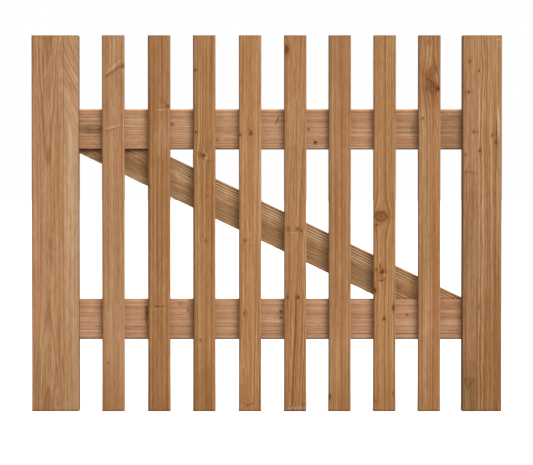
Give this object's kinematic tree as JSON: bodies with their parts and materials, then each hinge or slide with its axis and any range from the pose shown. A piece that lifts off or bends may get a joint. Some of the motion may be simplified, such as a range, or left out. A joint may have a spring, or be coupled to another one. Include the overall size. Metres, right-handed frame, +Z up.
{
  "type": "garden gate",
  "caption": "Planed wood picket gate leaf: glue-laminated stiles, pinned tenoned rails, upright pickets screwed on from behind and a diagonal brace.",
  "frame": {"origin": "on the ground line, halfway along the leaf and halfway through its depth", "axes": "+X from the latch stile to the hinge stile, +Y from the picket side to the back, +Z up"},
  "size_m": [1, 0.045, 0.8],
  "materials": {
    "stile_wood": "planed, oiled brown softwood, matt",
    "rail_wood": "planed, oiled brown softwood, matt",
    "picket_wood": "planed, oiled brown softwood, matt",
    "brace_wood": "fine-sawn, oiled brown softwood, matt",
    "pin_wood": "turned hardwood, flush-sawn",
    "screw_steel": "stainless steel, satin"
  },
  "bodies": {
    "root": {"latch_stile_outer_lamella": "stile_wood", "latch_stile_inner_lamella": "stile_wood", "hinge_stile_outer_lamella": "stile_wood", "hinge_stile_inner_head": "stile_wood", "hinge_stile_inner_middle": "stile_wood", "hinge_stile_inner_foot": "stile_wood", "upper_rail": "rail_wood", "lower_rail": "rail_wood", "picket_1": "picket_wood", "picket_2": "picket_wood", "picket_3": "picket_wood", "picket_4": "picket_wood", "picket_5": "picket_wood", "picket_6": "picket_wood", "picket_7": "picket_wood", "picket_8": "picket_wood", "brace": "brace_wood", "upper_rail_pins": "pin_wood", "lower_rail_pins": "pin_wood", "upper_rail_screws": "screw_steel", "lower_rail_screws": "screw_steel", "brace_screws": "screw_steel"}
  },
  "joints": []
}
